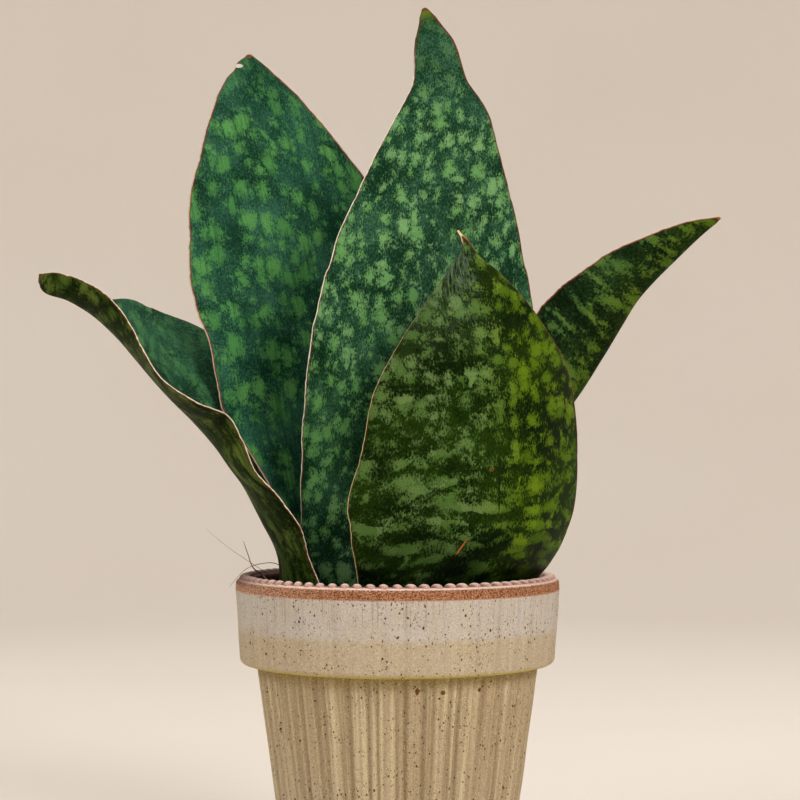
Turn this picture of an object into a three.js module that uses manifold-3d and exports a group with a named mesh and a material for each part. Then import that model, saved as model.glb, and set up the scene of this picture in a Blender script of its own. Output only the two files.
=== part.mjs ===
// Potted sansevieria grandis: five broad leaves on a short rootstock, in soil in a fluted
// clay pot with a plain collar, a bare clay band and a beaded rim.
// Millimetres, +Z up. The origin is the centre of the pot's base.

import * as THREE from "three";
import { mergeVertices } from "three/addons/utils/BufferGeometryUtils.js";
import Module from "manifold-3d";

const wasm = await Module();
wasm.setup();

// Driving dimensions of the pot
const rimHeight = 163;
const rimRadius = 90;
const baseRadius = 62.3;
const bodyTopRadius = 78.2;
const collarBottom = 115.8;
const collarFootRadius = 87.4;
const bodyInCollar = 4;
const floorThickness = 12;
const cavityFloorRadius = 52;
const cavityShoulderRadius = 70.5;
const rimInnerRadius = 79.5;
const rimLipHeight = 5;
const footHeight = 6;
const footChamfer = 1.6;

// Rounded corners of the collar. At its foot, each pair gives how far in the outline lies from
// the foot's radius and how far up from the collar's bottom. At the rim, it gives how far in from
// the rim's radius and how far down from its top.
const collarFootCorner = [[4, 0], [0.9, 1.2], [0, 4]];
const rimCorner = [[0, 6.5], [0.3, 3], [1.3, 1.1], [2.8, 0.3], [5, 0]];

// Flutes round the pot's body: a narrow rib, a groove, a broad rib and a groove, repeated.
// Each pair gives the place in one repeat, from 0 to 1, and the depth below the body's cone.
const fluteRepeats = 32;
const fluteRunOut = 4;
const fluteProfile = [[0.07, 0.3], [0.24, 1.4], [0.33, 0.3], [0.57, 0], [0.81, 0.3], [0.9, 1.4]];

// Beads round the rim: half ellipsoids on the rim's flat top
const beadCount = 76;
const beadRingRadius = 84.4;
const beadRadial = 3.8;
const beadAcross = 2.7;
const beadHeight = 2.3;
const beadSink = 0.2;

// Drainage holes
const drainCount = 3;
const drainRadius = 5;
const drainRing = 30;

// Soil
const soilEdgeHeight = 145;
const soilEdgeDrop = 2;
const soilCrown = 4;
const soilRelief = 0.78;
const soilRings = [74, 62, 48, 34, 21, 9];
const clearance = 0.35;

// The soil's surface is a broad wave and a narrow one. Each has its turn in radians per
// millimetre along X and along Y, and where it starts.
const broadWave = { x: 0.19, y: 0.23, startX: 1.1, startY: -0.4 };
const narrowWave = { x: 0.41, y: -0.33, share: 0.6 };

// Leaf blades: thickness at the midrib, at the margin and where the blade meets the rootstock
const midribThickness = 4.2;
const marginThickness = 1.2;
const neckThickness = 7;
const neckLength = 0.35;
const tipLength = 0.25;
const tipReach = 1.02;
const tipRoundness = 0.6;
const bladeColumns = 8;
const rowsPerStation = 2;
const endGrowth = 2;

// Rootstock: a knob under each leaf, joined to the middle one by a stout stem
const knobRadius = 13;
const knobDrop = 6;
const stemRadius = 9;

// Facets round each curved face, or round and down each ball
const turnedSegments = 64;
const soilSegments = 40;
const drainSegments = 20;
const stemSegments = 6;
const beadFacets = [6, 4];
const knobFacets = [8, 6];

// How far a cutter reaches past what it cuts, and the distance within which corners are one
const cutterReach = 5;
const mergeDistance = 1e-4;

const glaze = new THREE.MeshStandardMaterial({ color: 0xbfae94, roughness: 0.75, metalness: 0 });
const earth = new THREE.MeshStandardMaterial({ color: 0x3a261a, roughness: 1, metalness: 0 });
const root = new THREE.MeshStandardMaterial({ color: 0xb9854f, roughness: 0.8, metalness: 0 });
const blueGreen = new THREE.MeshStandardMaterial({ color: 0x34593a, roughness: 0.5, metalness: 0 });
const oliveGreen = new THREE.MeshStandardMaterial({ color: 0x3b4f18, roughness: 0.5, metalness: 0 });

// Leaves. Each row is one station from the neck to the tip: a point on one margin, a point on
// the midrib and a point on the other margin. The back of the blade faces away from the plant.
// A keel of 1 folds the blade sharply at the midrib and 2 rounds it.
const leaves = [
  {
    name: "leaf_centre",
    material: blueGreen,
    keel: 1.7,
    stations: [
      [[-9, 1, 106], [2, -3, 106], [13, 3, 106]],
      [[-34, 2, 142], [4, -6, 142], [44, 10, 142]],
      [[-52, -2, 168], [5, -8, 168], [57, 14, 167]],
      [[-53, -10, 206], [8, -12, 206], [75, 20, 205]],
      [[-52, -16, 247], [11, -14, 247], [82, 24, 248]],
      [[-46, -20, 301], [15, -12, 303], [79, 26, 303]],
      [[-33, -16, 349], [18, -8, 351], [69, 24, 353]],
      [[-13, -8, 396], [21, -2, 397], [59, 18, 399]],
      [[0, -2, 420], [23, 2, 421], [51, 13, 423]],
      [[8.4, 2, 439], [23, 4, 441], [39, 10, 442]],
      [[10, 4, 461], [21, 5, 462], [32, 7, 462]],
      [[11.4, 5, 471], [18.5, 6, 472], [25.5, 6, 472]],
      [[14.3, 6, 481.5], [15.5, 6, 482], [16.7, 6, 481.5]],
    ],
  },
  {
    name: "leaf_back_left",
    material: blueGreen,
    keel: 1.7,
    stations: [
      [[-8, 25, 106], [-17, 24, 106], [-24, 16, 106]],
      [[2, 36, 142], [-32, 32, 142], [-48, 8, 142]],
      [[-15, 36, 170], [-39, 34, 170], [-53, 4, 172]],
      [[-5, 34, 205], [-41, 38, 204], [-68, 5, 209]],
      [[1, 32, 230], [-44, 42, 230], [-82, 5, 231]],
      [[4, 32, 259], [-47, 44, 259], [-98, 8, 256]],
      [[2, 34, 295], [-51, 46, 295], [-106, 10, 294]],
      [[1, 34, 311], [-54, 46, 311], [-112, 12, 309]],
      [[-2, 35, 334], [-57, 46, 332], [-117, 14, 328]],
      [[-8, 37, 363], [-62, 46, 361], [-118, 16, 355]],
      [[-18, 38, 388], [-68, 44, 390], [-116, 19, 384]],
      [[-41, 38, 418], [-74, 40, 420], [-109, 24, 416]],
      [[-61, 36, 440], [-79, 37, 442], [-101, 29, 440]],
      [[-74, 34, 452], [-82, 34, 453], [-94, 31, 453]],
      [[-83.5, 34, 460], [-85, 33, 460.5], [-86.5, 32, 460]],
    ],
  },
  {
    name: "leaf_left",
    material: oliveGreen,
    keel: 1.6,
    stations: [
      [[-37, 5, 106], [-38, -5, 106], [-30, -13, 106]],
      [[-54, 24, 142], [-59, -6, 142], [-35, -28, 142]],
      [[-63, 33, 187], [-63.8, -8, 174], [-47.5, -30, 174]],
      [[-69, 36, 213], [-73.6, -8, 194.5], [-52, -33, 191]],
      [[-78, 38, 239], [-84, -8, 214], [-64, -36, 207]],
      [[-86, 41, 262], [-94, -8, 229], [-77, -39, 221]],
      [[-93, 43, 278], [-102, -8, 240], [-84, -42, 239]],
      [[-103, 44, 296], [-112, -8, 252], [-92, -45, 253]],
      [[-115, 44, 304], [-122.3, -8, 263], [-108, -46, 260]],
      [[-134, 40, 312], [-132.3, -8, 274], [-126, -46, 272]],
      [[-144, 38, 316], [-143.5, -8, 286], [-138, -42, 290]],
      [[-153, 33, 319], [-153.5, -9, 297], [-145, -38, 300]],
      [[-166, 22, 319], [-166.6, -10, 309], [-158, -32, 317]],
      [[-178, 8, 327], [-181, -10, 317.6], [-174, -24, 327]],
      [[-189, -2, 330], [-194, -10, 321.3], [-187, -18, 331]],
      [[-198, -8, 329.5], [-198.6, -10, 326.5], [-198, -12, 330.5]],
    ],
  },
  {
    name: "leaf_front",
    material: oliveGreen,
    keel: 1.7,
    stations: [
      [[12, -33, 106], [22, -37, 106], [32, -30, 106]],
      [[-14, -36, 142], [33, -54, 142], [60, -22, 142]],
      [[-20, -38, 157], [36, -56, 157], [73.5, -11, 159]],
      [[-23, -40, 173], [46, -60, 176], [84.5, -8.5, 172]],
      [[-25, -40, 192], [49, -65, 196], [92, -12, 189]],
      [[-26, -40, 207], [49, -69, 212], [97.4, -14, 209]],
      [[-19, -41, 231], [50, -70, 236], [98.5, -15, 236]],
      [[-14, -43, 258], [49, -70, 261], [95, -20, 267]],
      [[-2, -45, 285], [47, -67, 289], [84, -28, 293]],
      [[12, -46, 307], [43, -62, 312], [70, -36, 313]],
      [[26, -48, 328], [40, -56, 329], [55, -44, 329]],
      [[35, -50, 340], [38, -52, 339], [45, -49, 336]],
      [[35.6, -50, 344.2], [36.8, -50.4, 344.5], [38, -50, 344.8]],
      [[31.8, -49, 351], [32.3, -49, 351.4], [32.8, -49, 351.8]],
    ],
  },
  {
    name: "leaf_right",
    material: blueGreen,
    keel: 1.6,
    stations: [
      [[36, 20, 106], [41, 28, 106], [36, 37, 106]],
      [[40, 26, 142], [56, 35, 142], [37, 56, 142]],
      [[42, 28, 170], [59, 37, 168], [38, 64, 170]],
      [[52, 32, 231], [82.4, 46, 231.2], [58, 74, 240]],
      [[62, 34, 268], [94.4, 48, 253.2], [70, 78, 273]],
      [[72, 34, 297], [106.6, 50, 271.2], [82, 80, 301]],
      [[85, 32, 318], [117, 50, 288], [95, 78, 320]],
      [[101.6, 30, 332.8], [132.3, 48, 311.6], [109.6, 74, 334.8]],
      [[120.7, 28, 345.8], [147.2, 46, 331.8], [128.7, 68, 347.8]],
      [[142.8, 28, 355.8], [162.2, 42, 347], [147.8, 57, 357.8]],
      [[165, 30, 363.6], [175.5, 38, 358.7], [168, 45, 364.6]],
      [[184.5, 33.5, 367.2], [186, 35, 366.3], [185, 36.5, 367.2]],
    ],
  },
];

// Merge shared corners, drop empty triangles and turn the faces out, as one closed solid
function toSolid(geometry) {
  const bare = geometry.clone();
  bare.deleteAttribute("normal");
  bare.deleteAttribute("uv");
  const merged = mergeVertices(bare, mergeDistance);
  const corners = merged.index.array;
  const places = merged.attributes.position.array;
  const triangles = [];
  let volume = 0;
  for (let i = 0; i < corners.length; i += 3) {
    const [a, b, c] = corners.slice(i, i + 3);
    if (a === b || b === c || c === a) {
      continue;
    }
    triangles.push(a, b, c);
    const [pa, pb, pc] = [a, b, c].map((k) => new THREE.Vector3().fromArray(places, 3 * k));
    volume += pa.dot(pb.cross(pc));
  }
  if (volume < 0) {
    triangles.reverse();
  }
  const vertProperties = new Float32Array(places);
  const triVerts = new Uint32Array(triangles);
  return new wasm.Manifold(new wasm.Mesh({ numProp: 3, vertProperties, triVerts }));
}

// The solid's vertices and triangles, as a geometry with flat facets
function toGeometry(solid) {
  const mesh = solid.getMesh();
  const geometry = new THREE.BufferGeometry();
  geometry.setAttribute("position", new THREE.BufferAttribute(new Float32Array(mesh.vertProperties), 3));
  geometry.setIndex(new THREE.BufferAttribute(new Uint32Array(mesh.triVerts), 1));
  geometry.computeVertexNormals();
  return geometry;
}

// A turned solid from an outline of radius and height that starts and ends on the axis
function turned(outline, segments = turnedSegments) {
  const points = outline.map(([radius, height]) => new THREE.Vector2(radius, height));
  return toSolid(new THREE.LatheGeometry(points, segments).rotateX(Math.PI / 2));
}

// A solid lofted through closed rings with the same number of points, with a fan at each end
function lofted(rings) {
  const count = rings[0].length;
  const points = rings.flat();
  const middles = [rings[0], rings.at(-1)].map((ring) => {
    const sum = ring.reduce((total, point) => total.add(point), new THREE.Vector3());
    return sum.divideScalar(count);
  });
  const [first, last] = [points.length, points.length + 1];
  points.push(...middles);
  const triangles = [];
  const lastRing = count * (rings.length - 1);
  for (let i = 0; i < count; i += 1) {
    const next = (i + 1) % count;
    triangles.push(first, next, i);
    triangles.push(last, lastRing + i, lastRing + next);
    for (let row = 0; row < lastRing; row += count) {
      triangles.push(row + i, row + next, row + count + next);
      triangles.push(row + i, row + count + next, row + count + i);
    }
  }
  const geometry = new THREE.BufferGeometry().setFromPoints(points);
  geometry.setIndex(triangles);
  return toSolid(geometry);
}

function polar(radius, angle, height) {
  return new THREE.Vector3(radius * Math.cos(angle), radius * Math.sin(angle), height);
}

// Pot

// One level of the fluted body, with the flutes at a share of their full depth
function fluteRing(height, radius, share) {
  const ring = [];
  for (let repeat = 0; repeat < fluteRepeats; repeat += 1) {
    for (const [place, depth] of fluteProfile) {
      const angle = (2 * Math.PI * (repeat + place)) / fluteRepeats;
      ring.push(polar(radius - share * depth, angle, height));
    }
  }
  return ring;
}

function coneRadius(height) {
  return baseRadius + ((bodyTopRadius - baseRadius) * height) / collarBottom;
}

function flutedBody() {
  const flutesFull = footHeight + fluteRunOut;
  const insideCollar = collarBottom + bodyInCollar;
  return lofted([
    fluteRing(0, baseRadius - footChamfer, 0),
    fluteRing(footChamfer, coneRadius(footChamfer), 0),
    fluteRing(footHeight, coneRadius(footHeight), 0),
    fluteRing(flutesFull, coneRadius(flutesFull), 1),
    fluteRing(insideCollar, coneRadius(insideCollar), 1),
  ]);
}

function collar() {
  return turned([
    [0, collarBottom],
    ...collarFootCorner.map(([inward, up]) => [collarFootRadius - inward, collarBottom + up]),
    ...rimCorner.map(([inward, down]) => [rimRadius - inward, rimHeight - down]),
    [0, rimHeight],
  ]);
}

function cavity() {
  const above = rimHeight + cutterReach;
  return turned([
    [0, floorThickness],
    [cavityFloorRadius, floorThickness],
    [cavityShoulderRadius, collarBottom],
    [rimInnerRadius, rimHeight - rimLipHeight],
    [rimInnerRadius, above],
    [0, above],
  ]);
}

function bead(index) {
  const angle = (2 * Math.PI * index) / beadCount;
  const ball = new THREE.SphereGeometry(1, ...beadFacets).rotateX(Math.PI / 2);
  ball.scale(beadRadial, beadAcross, beadHeight + beadSink).rotateZ(angle);
  const { x, y, z } = polar(beadRingRadius, angle, rimHeight - beadSink);
  return toSolid(ball.translate(x, y, z));
}

function drain(index) {
  const angle = (2 * Math.PI * (index + 0.5)) / drainCount;
  const reach = 2 * (floorThickness + cutterReach);
  const hole = new THREE.CylinderGeometry(drainRadius, drainRadius, reach, drainSegments);
  const { x, y } = polar(drainRing, angle, 0);
  return toSolid(hole.rotateX(Math.PI / 2).translate(x, y, 0));
}

function pot() {
  let solid = flutedBody().add(collar()).subtract(cavity());
  for (let i = 0; i < drainCount; i += 1) {
    solid = solid.subtract(drain(i));
  }
  for (let i = 0; i < beadCount; i += 1) {
    solid = solid.add(bead(i));
  }
  return solid;
}

// Leaves

function rail(stations, side) {
  const points = stations.map((station) => new THREE.Vector3(...station[side]));
  return new THREE.CatmullRomCurve3(points, false, "catmullrom", 0.5);
}

// The blade's middle sheet: a grid of points from the neck to the tip and across from one
// margin to the other
function bladeSheet({ stations, keel }) {
  const [left, midrib, right] = [0, 1, 2].map((side) => rail(stations, side));
  const rows = rowsPerStation * (stations.length - 1);
  const sheet = [];
  for (let row = 0; row <= rows; row += 1) {
    const [l, m, r] = [left, midrib, right].map((curve) => curve.getPoint(row / rows));
    const across = r.clone().sub(l).multiplyScalar(0.5);
    const lift = r.clone().add(l).multiplyScalar(0.5).sub(m);
    const line = [];
    for (let column = 0; column <= bladeColumns; column += 1) {
      const side = (2 * column) / bladeColumns - 1;
      const point = m.clone().addScaledVector(across, side);
      line.push(point.addScaledVector(lift, Math.abs(side) ** keel));
    }
    sheet.push(line);
  }
  return sheet;
}

function bladeHalfThickness(along, side) {
  const swell = THREE.MathUtils.clamp(1 - along / neckLength, 0, 1) ** 2;
  const taper = THREE.MathUtils.clamp((tipReach - along) / tipLength, 0, 1) ** tipRoundness;
  const middle = (midribThickness + (neckThickness - midribThickness) * swell) * taper;
  const rounded = Math.sqrt(Math.max(0, 1 - side * side));
  return 0.5 * (marginThickness + Math.max(0, middle - marginThickness) * rounded);
}

function direction(from, to) {
  return to.clone().sub(from).normalize();
}

// A closed blade round the middle sheet. With growth it is larger all round by that much, and
// by twice that at its ends.
function blade(leaf, growth = 0) {
  const sheet = bladeSheet(leaf);
  const [lastRow, lastColumn] = [sheet.length - 1, bladeColumns];
  const inner = [];
  const outer = [];
  sheet.forEach((line, row) => {
    line.forEach((point, column) => {
      const along = direction(
        sheet[Math.max(row - 1, 0)][column],
        sheet[Math.min(row + 1, lastRow)][column],
      );
      const across = direction(line[Math.max(column - 1, 0)], line[Math.min(column + 1, lastColumn)]);
      const normal = along.clone().cross(across).normalize();
      const half = bladeHalfThickness(row / lastRow, (2 * column) / lastColumn - 1) + growth;
      const centre = point.clone();
      const outward = Number(column === lastColumn) - Number(column === 0);
      const onward = Number(row === lastRow) - Number(row === 0);
      centre.addScaledVector(across, outward * growth);
      centre.addScaledVector(along, endGrowth * onward * growth);
      inner.push(centre.clone().addScaledVector(normal, half));
      outer.push(centre.clone().addScaledVector(normal, -half));
    });
  });
  const width = bladeColumns + 1;
  const triangles = [];
  const quad = (a, b, c, d) => triangles.push(a, b, c, a, c, d);
  const back = inner.length;
  for (let row = 0; row < lastRow; row += 1) {
    for (let column = 0; column < lastColumn; column += 1) {
      const a = row * width + column;
      const [b, c, d] = [a + 1, a + width + 1, a + width];
      triangles.push(a, c, b, a, d, c);
      triangles.push(back + a, back + b, back + c, back + a, back + c, back + d);
    }
    const [near, far] = [row * width, row * width + lastColumn];
    quad(near, back + near, back + near + width, near + width);
    quad(far, far + width, back + far + width, back + far);
  }
  const top = lastRow * width;
  for (let column = 0; column < lastColumn; column += 1) {
    quad(column, column + 1, back + column + 1, back + column);
    const tip = top + column;
    quad(tip, back + tip, back + tip + 1, tip + 1);
  }
  const geometry = new THREE.BufferGeometry().setFromPoints([...inner, ...outer]);
  geometry.setIndex(triangles);
  return toSolid(geometry);
}

// Rootstock and soil

function neckPlace({ stations }) {
  const [left, midrib, right] = stations[0].map((point) => new THREE.Vector3(...point));
  const middle = left.add(right).multiplyScalar(0.5).add(midrib).multiplyScalar(0.5);
  return middle.setZ(middle.z - knobDrop);
}

const stemAxis = new THREE.Vector3(0, 1, 0);

// The rootstock's outside, larger all round by the growth
function rootstock(growth = 0) {
  const places = leaves.map(neckPlace);
  let solid = null;
  for (const place of places) {
    const ball = new THREE.SphereGeometry(knobRadius + growth, ...knobFacets).rotateX(Math.PI / 2);
    const knob = toSolid(ball.translate(place.x, place.y, place.z));
    solid = solid ? solid.add(knob) : knob;
    const reach = place.clone().sub(places[0]);
    if (reach.length() === 0) {
      continue;
    }
    const radius = stemRadius + growth;
    const stem = new THREE.CylinderGeometry(radius, radius, reach.length(), stemSegments);
    const turn = new THREE.Quaternion().setFromUnitVectors(stemAxis, reach.clone().normalize());
    const middle = places[0].clone().addScaledVector(reach, 0.5);
    stem.applyQuaternion(turn).translate(middle.x, middle.y, middle.z);
    solid = solid.add(toSolid(stem));
  }
  return solid;
}

function soilHeight(x, y) {
  const share = Math.hypot(x, y) / rimInnerRadius;
  const [turnX, turnY] = [broadWave.x * x + broadWave.startX, broadWave.y * y + broadWave.startY];
  const broad = Math.sin(turnX) * Math.cos(turnY);
  const narrow = narrowWave.share * Math.sin(narrowWave.x * x + narrowWave.y * y);
  return soilEdgeHeight + soilCrown * (1 - share * share) + soilRelief * (broad + narrow);
}

function soilBody() {
  const topOfWall = soilEdgeHeight - soilEdgeDrop;
  const share = (topOfWall - collarBottom) / (rimHeight - rimLipHeight - collarBottom);
  const wallRadius = THREE.MathUtils.lerp(cavityShoulderRadius, rimInnerRadius, share);
  const ring = (radius, height) => {
    const points = [];
    for (let i = 0; i < soilSegments; i += 1) {
      const point = polar(radius, (2 * Math.PI * i) / soilSegments, 0);
      point.z = height ?? soilHeight(point.x, point.y);
      points.push(point);
    }
    return points;
  };
  return lofted([
    ring(cavityFloorRadius - clearance, floorThickness + clearance),
    ring(cavityShoulderRadius - clearance, collarBottom),
    ring(wallRadius - clearance, topOfWall),
    ...soilRings.map((radius) => ring(radius)),
  ]);
}

const sheaths = leaves.map((leaf) => blade(leaf, clearance));

function cutBySheaths(solid) {
  return sheaths.reduce((rest, sheath) => rest.subtract(sheath), solid);
}

function part() {
  const group = new THREE.Group();
  const add = (name, solid, material) => {
    const mesh = new THREE.Mesh(toGeometry(solid), material);
    mesh.name = name;
    group.add(mesh);
  };
  add("pot", pot(), glaze);
  add("soil", cutBySheaths(soilBody().subtract(rootstock(clearance))), earth);
  add("rootstock", cutBySheaths(rootstock()), root);
  for (const leaf of leaves) {
    add(leaf.name, blade(leaf), leaf.material);
  }
  return group;
}

export default part();
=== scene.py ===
# Potted sansevieria grandis: the looks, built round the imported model.
# Lengths are in millimetres, and MM turns them into Blender's metres. +Z is up.

from itertools import combinations
from math import atan, cos, pi, sin, sqrt
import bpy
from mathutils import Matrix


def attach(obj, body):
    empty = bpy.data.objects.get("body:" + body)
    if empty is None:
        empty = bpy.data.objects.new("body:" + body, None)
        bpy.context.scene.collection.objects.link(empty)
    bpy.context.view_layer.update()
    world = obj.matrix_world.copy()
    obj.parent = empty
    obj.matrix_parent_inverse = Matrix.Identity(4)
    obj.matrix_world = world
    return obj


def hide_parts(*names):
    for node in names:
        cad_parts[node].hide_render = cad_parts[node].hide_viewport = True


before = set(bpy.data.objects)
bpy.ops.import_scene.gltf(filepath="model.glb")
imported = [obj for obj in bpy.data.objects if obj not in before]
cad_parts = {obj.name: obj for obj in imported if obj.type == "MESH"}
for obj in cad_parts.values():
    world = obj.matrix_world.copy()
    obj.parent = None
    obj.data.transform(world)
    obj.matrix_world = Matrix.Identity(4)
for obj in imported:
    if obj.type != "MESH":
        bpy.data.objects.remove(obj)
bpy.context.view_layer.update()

from types import SimpleNamespace

import bpy
import numpy as np
from mathutils import Vector

MM = 0.001
scene = bpy.context.scene

# Camera, at the photograph's viewing angle
CAMERA_PLACE = (1.4, -1175.0, 243.0)
PHOTO_PIXELS = 800
FOCAL_PIXELS = 2108
HORIZON_PIXELS = 33
CAMERA_PITCH = atan(HORIZON_PIXELS / FOCAL_PIXELS)
SENSOR_WIDTH = 36.0
CAMERA_LENS = SENSOR_WIDTH * FOCAL_PIXELS / PHOTO_PIXELS

# Pot
RIM_HEIGHT = 163.0
RIM_RADIUS = 90.0
BASE_RADIUS = 62.3
BODY_TOP_RADIUS = 78.2
COLLAR_BOTTOM = 115.8
COLLAR_FOOT_RADIUS = 87.4
FLOOR_THICKNESS = 12.0
CAVITY_FLOOR_RADIUS = 52.0
CAVITY_SHOULDER_RADIUS = 70.5
RIM_INNER_RADIUS = 79.5
RIM_LIP_HEIGHT = 5.0
BASE_ROUND = 2.0
NECK_ROUND = 1.2
COLLAR_ROUND = 3.5
LIP_ROUND = 1.2
FOOT_HEIGHT = 6.0
FLUTE_RUN_OUT = 4.0
FLUTE_REPEATS = 32
FLUTE_SHIFT = 0.035
FLUTE_DEEPNESS = (0.75, 1.2)
FLUTE_PROFILE = [(0.07, 0.2), (0.235, 2.1), (0.36, 0.3), (0.57, 0.0), (0.78, 0.3), (0.905, 2.1)]
POT_COLUMNS = FLUTE_REPEATS * 24
BAND_BOTTOM = 156.4
DRAIN_COUNT = 3
DRAIN_RADIUS = 5.0
DRAIN_RING = 30.0
DRAIN_SIDES = 40
# A cone inside the pot's wall: what lies within it is the inside
WALL_LINE_FOOT = 55.5
WALL_LINE_SLOPE = 0.16

# Beads round the rim
BEAD_COUNT = 76
BEAD_RING_RADIUS = 84.4
BEAD_SIZE = (3.8, 2.55, 2.0)
BEAD_SINK = 0.1
BEAD_ROWS = 9
BEAD_COLUMNS = 18

# Soil
SOIL_EDGE_HEIGHT = 145.0
SOIL_CROWN = 4.0
SOIL_RADIUS = 75.5
SOIL_CLEARANCE = 0.6
SOIL_FOOT = FLOOR_THICKNESS + 0.4
SOIL_MIDDLE = 0.3
SOIL_ROWS = 90
SOIL_COLUMNS = 300
CRUMB_COUNT = 1600
CRUMB_SPREAD = SOIL_RADIUS - 2.5
FIBRE_COUNT = 90
FIBRE_STEP = 3.4
FIBRE_START_RADIUS = 70.0
FIBRE_END_RADIUS = 72.0

# Leaf blades
MIDRIB_THICKNESS = 4.2
MARGIN_THICKNESS = 0.7
NECK_THICKNESS = 7.0
NECK_LENGTH = 0.35
TIP_LENGTH = 0.25
ROW_SPACING = 1.3
HALF_COLUMNS = 38
MARGIN_CROWDING = 1.6
MARGIN_BULGE = 0.25
TIP_THINNING = 0.03
TIP_THIN = 0.3
# The margin's distance as the material reads it on the bulging edge: beyond the margin itself
EDGE_MARGIN = -0.4
# Unevenness of the blades: the length of each wave along, across and through a leaf
SWELL = (34, 34, 34)
RIPPLE = (15, 15, 15)
SWAY = (26, 400, 1)
MARGIN_WAVE = (9, 400, 1)
MARGIN_NICK = (2.6, 400, 1)
# The first and the last column of a blade
MARGINS = [0, -1]

# Stage
FLOOR_RADIUS = 1600.0
WALL_HEIGHT = 4000.0
STAGE_SIDES = 96


# Colours

def rgb(red, green, blue):
    """A colour on the photograph's scale of 0 to 255, as Blender's linear values."""
    def linear(value):
        value /= 255
        return value / 12.92 if value <= 0.04045 else ((value + 0.055) / 1.055) ** 2.4
    return (linear(red), linear(green), linear(blue), 1.0)


# Colours are on the photograph's scale of 0 to 255, and rgb turns them into Blender's.
# Greens, each a dark ground, a lighter ground, a mist of fine specks and two blotch colours
BLUE = ((10, 44, 22), (24, 62, 38), (64, 104, 82), (116, 158, 106), (98, 146, 86))
BLUE_SOFT = ((14, 54, 36), (40, 88, 70), (76, 122, 100), (96, 156, 88), (76, 136, 76))
INNER = ((12, 44, 28), (34, 76, 54), (58, 100, 76), (74, 122, 78), (60, 106, 68))
OLIVE = ((6, 24, 0), (22, 42, 0), (42, 62, 14), (102, 126, 74), (76, 104, 46))
OLIVE_DULL = ((6, 20, 0), (22, 36, 2), (42, 58, 14), (90, 102, 44), (66, 84, 28))
EAST = ((8, 28, 10), (22, 46, 24), (46, 76, 46), (92, 128, 70), (78, 116, 66))
# Dark clay at the back left of the rim: partly damp, partly painted shade.
DAMP_AND_SHADED_CLAY = (70, 42, 34)

# How a plain leaf looks. Sizes are in millimetres, and a key set to None is a layer left out.
PLAIN_LOOK = dict(
    slot="leaf_blue_green", outer=BLUE, inner=INNER, cell=(8.5, 12.0), radius=(0.12, 0.48),
    small_cell=(5.0, 7.5), small_radius=(0.0, 0.44), ragged=1.5, dither=3.6, soft=0.05,
    # The pale horny rim is the leaf's own; pale sets its share on the left and on the right margin, partly as
    # painted highlight.
    strength=1.0, mist=0.85, pale=(1.0, 0.3), horn=(240, 212, 194), horn_width=0.35,
    dry=3.0, dry_colour=(96, 60, 34), marks=(), low_cell=None, right_more=None,
    calm_tip=None, low_shade=None, low_lit=None, tint=None, veil=None, streaks=None,
    ripe_tip=None, pale_below=None,
)
# What each leaf has of its own. A mark is its centre, its half sizes and its colour, and may have a lean.
LEAF_LOOKS = {
    "leaf_centre": dict(
        pale_below=80.0, calm_tip=(80.0, 140.0), ripe_tip=(92, 112, 26), dry=5.0, horn=(248, 232, 216),
        # Painted shade low on this leaf, fading out again at its very foot.
        low_lit=(70.0, 150.0), low_shade=(90.0, 230.0, (150, 180, 146)),
    ),
    "leaf_back_left": dict(
        inner=BLUE_SOFT, cell=(9.5, 14.0), radius=(0.16, 0.54), dither=2.8, soft=0.1, mist=0.6, strength=0.95,
        calm_tip=(30.0, 80.0), pale=(0.5, 0.6), horn_width=0.2, streaks=(0.45, 0.45),
        marks=[
            ((-91.1, 31, 453.6), (2.6, 6, 1.2), (206, 198, 188)),
            ((-85.3, 33, 459.6), (2.0, 4, 1.4), (112, 66, 40)),
        ],
    ),
    "leaf_left": dict(
        slot="leaf_olive", outer=OLIVE_DULL, cell=(10.0, 8.0), low_cell=(8.0, 26.0), low_end=190.0, wave=60.0,
        radius=(0.1, 0.6), dither=3.0, soft=0.25, horn=(240, 224, 204), horn_width=-0.05, pale=(0.8, 0.9),
        # A greyer, darker tone towards this leaf's foot.
        streaks=(0.6, 0.0), low_shade=(10.0, 150.0, (176, 204, 214)),
    ),
    "leaf_front": dict(
        slot="leaf_olive", outer=OLIVE, cell=(7.8, 9.8), low_cell=(17.0, 8.5), low_end=150.0, wave=11.0,
        # A painted warm light over this leaf's right half.
        radius=(0.08, 0.57), right_more=0.22, dither=4.2, mist=0.7, tint=((240, 240, 46), 0.92, 0.0),
        # Painted shade, very dark, at this leaf's foot just above the rim.
        horn=(226, 204, 156), horn_width=0.5, low_shade=(64.0, 102.0, (92, 106, 84)),
        # A painted sheen on the left of this leaf near its tip.
        veil=((118, 142, 114), 0.85), dry=9.0, dry_colour=(225, 190, 140),
        marks=[
            ((53.4, -68, 219.4), (0.7, 8, 21), (16, 34, 4)),
            ((49.7, -68, 224.1), (1.3, 8, 1.3), (112, 78, 34)),
            ((49.7, -68, 224.1), (0.7, 8, 0.7), (30, 50, 10)),
            ((33.7, -70, 182.8), (0.5, 12, 6.4), (150, 88, 34), 0.6),
        ],
    ),
    "leaf_right": dict(
        # A painted warm light over this leaf's right half.
        outer=EAST, cell=(11.5, 9.0), radius=(0.12, 0.56), dither=3.2, tint=((240, 206, 60), 0.9, 18.0),
        pale=(0.6, 0.5), horn_width=0.1, dry_colour=(150, 70, 40),
    ),
}
# The softness of a blotch's edge, as a share of the distance between blotches
BLOTCH_EDGE = 0.42

# Each size of speck: the space between specks, its reach as a share of that space, its colour and strength
SPECKS = [
    (1.7, 0.2, (112, 82, 44), 0.8),
    (2.6, 0.19, (84, 54, 22), 0.95),
    (5.0, 0.115, (66, 38, 12), 1.0),
    (11.0, 0.07, (70, 38, 12), 1.0),
]
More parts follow.
